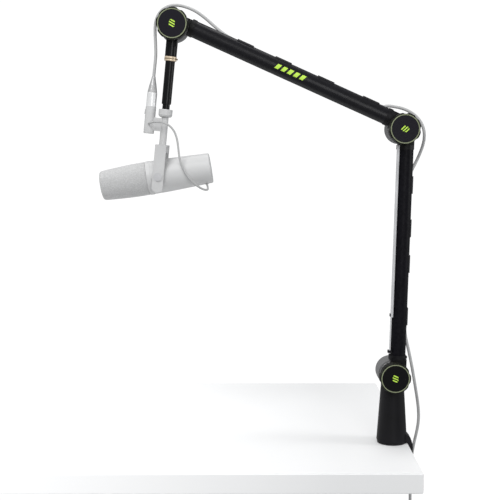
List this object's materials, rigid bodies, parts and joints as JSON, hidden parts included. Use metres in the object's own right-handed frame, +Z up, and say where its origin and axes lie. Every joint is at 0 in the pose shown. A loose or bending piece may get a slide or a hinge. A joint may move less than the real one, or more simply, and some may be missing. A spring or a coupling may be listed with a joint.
{
  "type": "boom arm microphone",
  "caption": "End-address microphone in a yoke under a jointed black boom arm with round clamp knobs, a clipped grey lead and a screw clamp for a desk edge.",
  "frame": {"origin": "centre of the base cone's seat on the desk top, on the swivel axis", "axes": "+Z up along the swivel axis, +X out over the desk's edge, -Y towards the side with the clamp knobs' faces"},
  "size_m": [0.5515, 0.076, 0.9821],
  "materials": {
    "black_metal": "satin black anodised",
    "black_paint": "satin black",
    "black_plastic": "matt black",
    "cap_plastic": "semi-gloss dark grey with a lime ring",
    "joint_metal": "satin grey, machined",
    "steel": "plain",
    "gold": "satin champagne gold",
    "mic_metal": "satin silver grey",
    "yoke_metal": "satin pale grey",
    "foam": "fine pale grey open-cell foam",
    "mesh": "woven wire",
    "lead_grey": "matt pale grey",
    "dark_lead": "matt black",
    "plug": "nickel with a black boot",
    "pad": "matt",
    "contacts": "plated",
    "board": "solder mask green"
  },
  "bodies": {
    "clamp": {"base_cone": "black_paint", "clamp_bracket": "black_paint", "seat_pad": "pad", "bracket_screws": "steel", "socket_bush": "black_plastic", "tail_lower": "lead_grey", "end_plug": "plug"},
    "press": {"press_pad": "black_paint"},
    "clamp_handle": {"clamp_screw": "steel", "clamp_hand_knob": "black_plastic"},
    "turret": {"turret": "joint_metal", "base_bolt_and_cap": "steel", "base_washer": "steel"},
    "base_knob": {"base_knob": "black_plastic", "base_knob_face": "cap_plastic"},
    "lower_arm": {"lower_arm_foot": "black_metal", "lower_arm_tube": "black_metal", "lower_arm_head": "joint_metal", "lower_cable_clips": "black_plastic", "lower_cable_run": "lead_grey", "side_rod": "steel", "lower_arm_fixings": "steel", "elbow_bolt_and_cap": "steel", "elbow_washer": "steel", "tail_upper": "lead_grey"},
    "elbow_knob": {"elbow_knob": "black_plastic", "elbow_knob_face": "cap_plastic"},
    "upper_arm": {"upper_arm_foot": "black_metal", "upper_arm_tube": "black_metal", "upper_arm_head": "joint_metal", "upper_cable_clips": "black_plastic", "upper_cable_run": "lead_grey", "head_bolt_and_cap": "steel", "head_washer": "steel", "elbow_loop": "lead_grey", "head_loop_upper": "lead_grey"},
    "head_knob": {"head_knob": "black_plastic", "head_knob_face": "cap_plastic"},
    "head": {"head_sleeve": "black_metal", "swivel_ring": "gold"},
    "drop": {"drop_tube": "black_metal", "yoke": "yoke_metal", "pivot_pins": "steel", "socket_housing": "black_plastic", "socket_contacts": "contacts", "mic_plug": "plug", "head_loop_lower": "lead_grey", "mic_lead": "dark_lead"},
    "lock_nut": {"lock_nut": "black_metal"},
    "latch": {"latch_button": "black_plastic"},
    "microphone": {"mic_shell": "mic_metal", "mic_rear_cap": "mic_metal", "mic_band": "mic_metal", "mic_windscreen": "foam", "mic_grille": "mesh", "capsule": "black_plastic", "mic_chassis": "steel", "amplifier_board": "board", "pivot_bushes": "black_plastic", "lead_gland": "black_plastic"}
  },
  "joints": [
    {"name": "clamp_handle_turn", "type": "hinge", "parent": "press", "child": "clamp_handle", "pos_m": [0, 0, -0.078], "axis": [0, 0, 1], "range_deg": [-1625, 1895]},
    {"name": "press_slide", "type": "slide", "parent": "clamp", "child": "press", "axis": [0, 0, 1], "range_m": [-0.009, 0.0105]},
    {"name": "base_swivel", "type": "hinge", "parent": "clamp", "child": "turret", "pos_m": [0, 0, 0.06], "axis": [0, 0, 1], "range_deg": [-120, 120], "deforming": ["tail_lower"]},
    {"name": "base_tilt", "type": "hinge", "parent": "turret", "child": "lower_arm", "pos_m": [0, 0, 0.12], "axis": [0, 1, 0], "range_deg": [-80, 50], "deforming": ["tail_upper"]},
    {"name": "elbow_tilt", "type": "hinge", "parent": "lower_arm", "child": "upper_arm", "pos_m": [0.00966, 0, 0.53939], "axis": [0, 1, 0], "range_deg": [-60, 65], "deforming": ["elbow_loop"]},
    {"name": "head_tilt", "type": "hinge", "parent": "upper_arm", "child": "head", "pos_m": [-0.37342, 0, 0.71035], "axis": [0, 1, 0], "range_deg": [-30, 85], "deforming": ["head_loop_upper"]},
    {"name": "head_swivel", "type": "hinge", "parent": "head", "child": "drop", "pos_m": [-0.37895, 0, 0.65593], "axis": [-0.1011, 0, -0.9949], "range_deg": [-90, 90], "deforming": ["head_loop_lower"]},
    {"name": "lock_nut_turn", "type": "hinge", "parent": "drop", "child": "lock_nut", "pos_m": [-0.3881, 0, 0.56579], "axis": [-0.1011, 0, -0.9949], "range_deg": [0, 360]},
    {"name": "mic_tilt", "type": "hinge", "parent": "drop", "child": "microphone", "pos_m": [-0.39883, 0, 0.46014], "axis": [0, 1, 0], "range_deg": [-19, 50], "deforming": ["mic_lead"]},
    {"name": "latch_press", "type": "slide", "parent": "drop", "child": "latch", "axis": [0.9949, 0, -0.1011], "range_m": [0, 0.0012], "stiffness_N_per_m": 300},
    {"name": "base_knob_turn", "type": "hinge", "parent": "turret", "child": "base_knob", "pos_m": [0, -0.03, 0.12], "axis": [0, -1, 0], "range_deg": [0, 360]},
    {"name": "elbow_knob_turn", "type": "hinge", "parent": "lower_arm", "child": "elbow_knob", "pos_m": [0.00966, -0.03, 0.53939], "axis": [0, -1, 0], "range_deg": [0, 360]},
    {"name": "head_knob_turn", "type": "hinge", "parent": "upper_arm", "child": "head_knob", "pos_m": [-0.37342, -0.03, 0.71035], "axis": [0, -1, 0], "range_deg": [0, 360]}
  ],
  "couplings": [
    {"joint": "clamp_handle_turn", "follows": "press_slide", "rad_per_m": 3141.6}
  ]
}
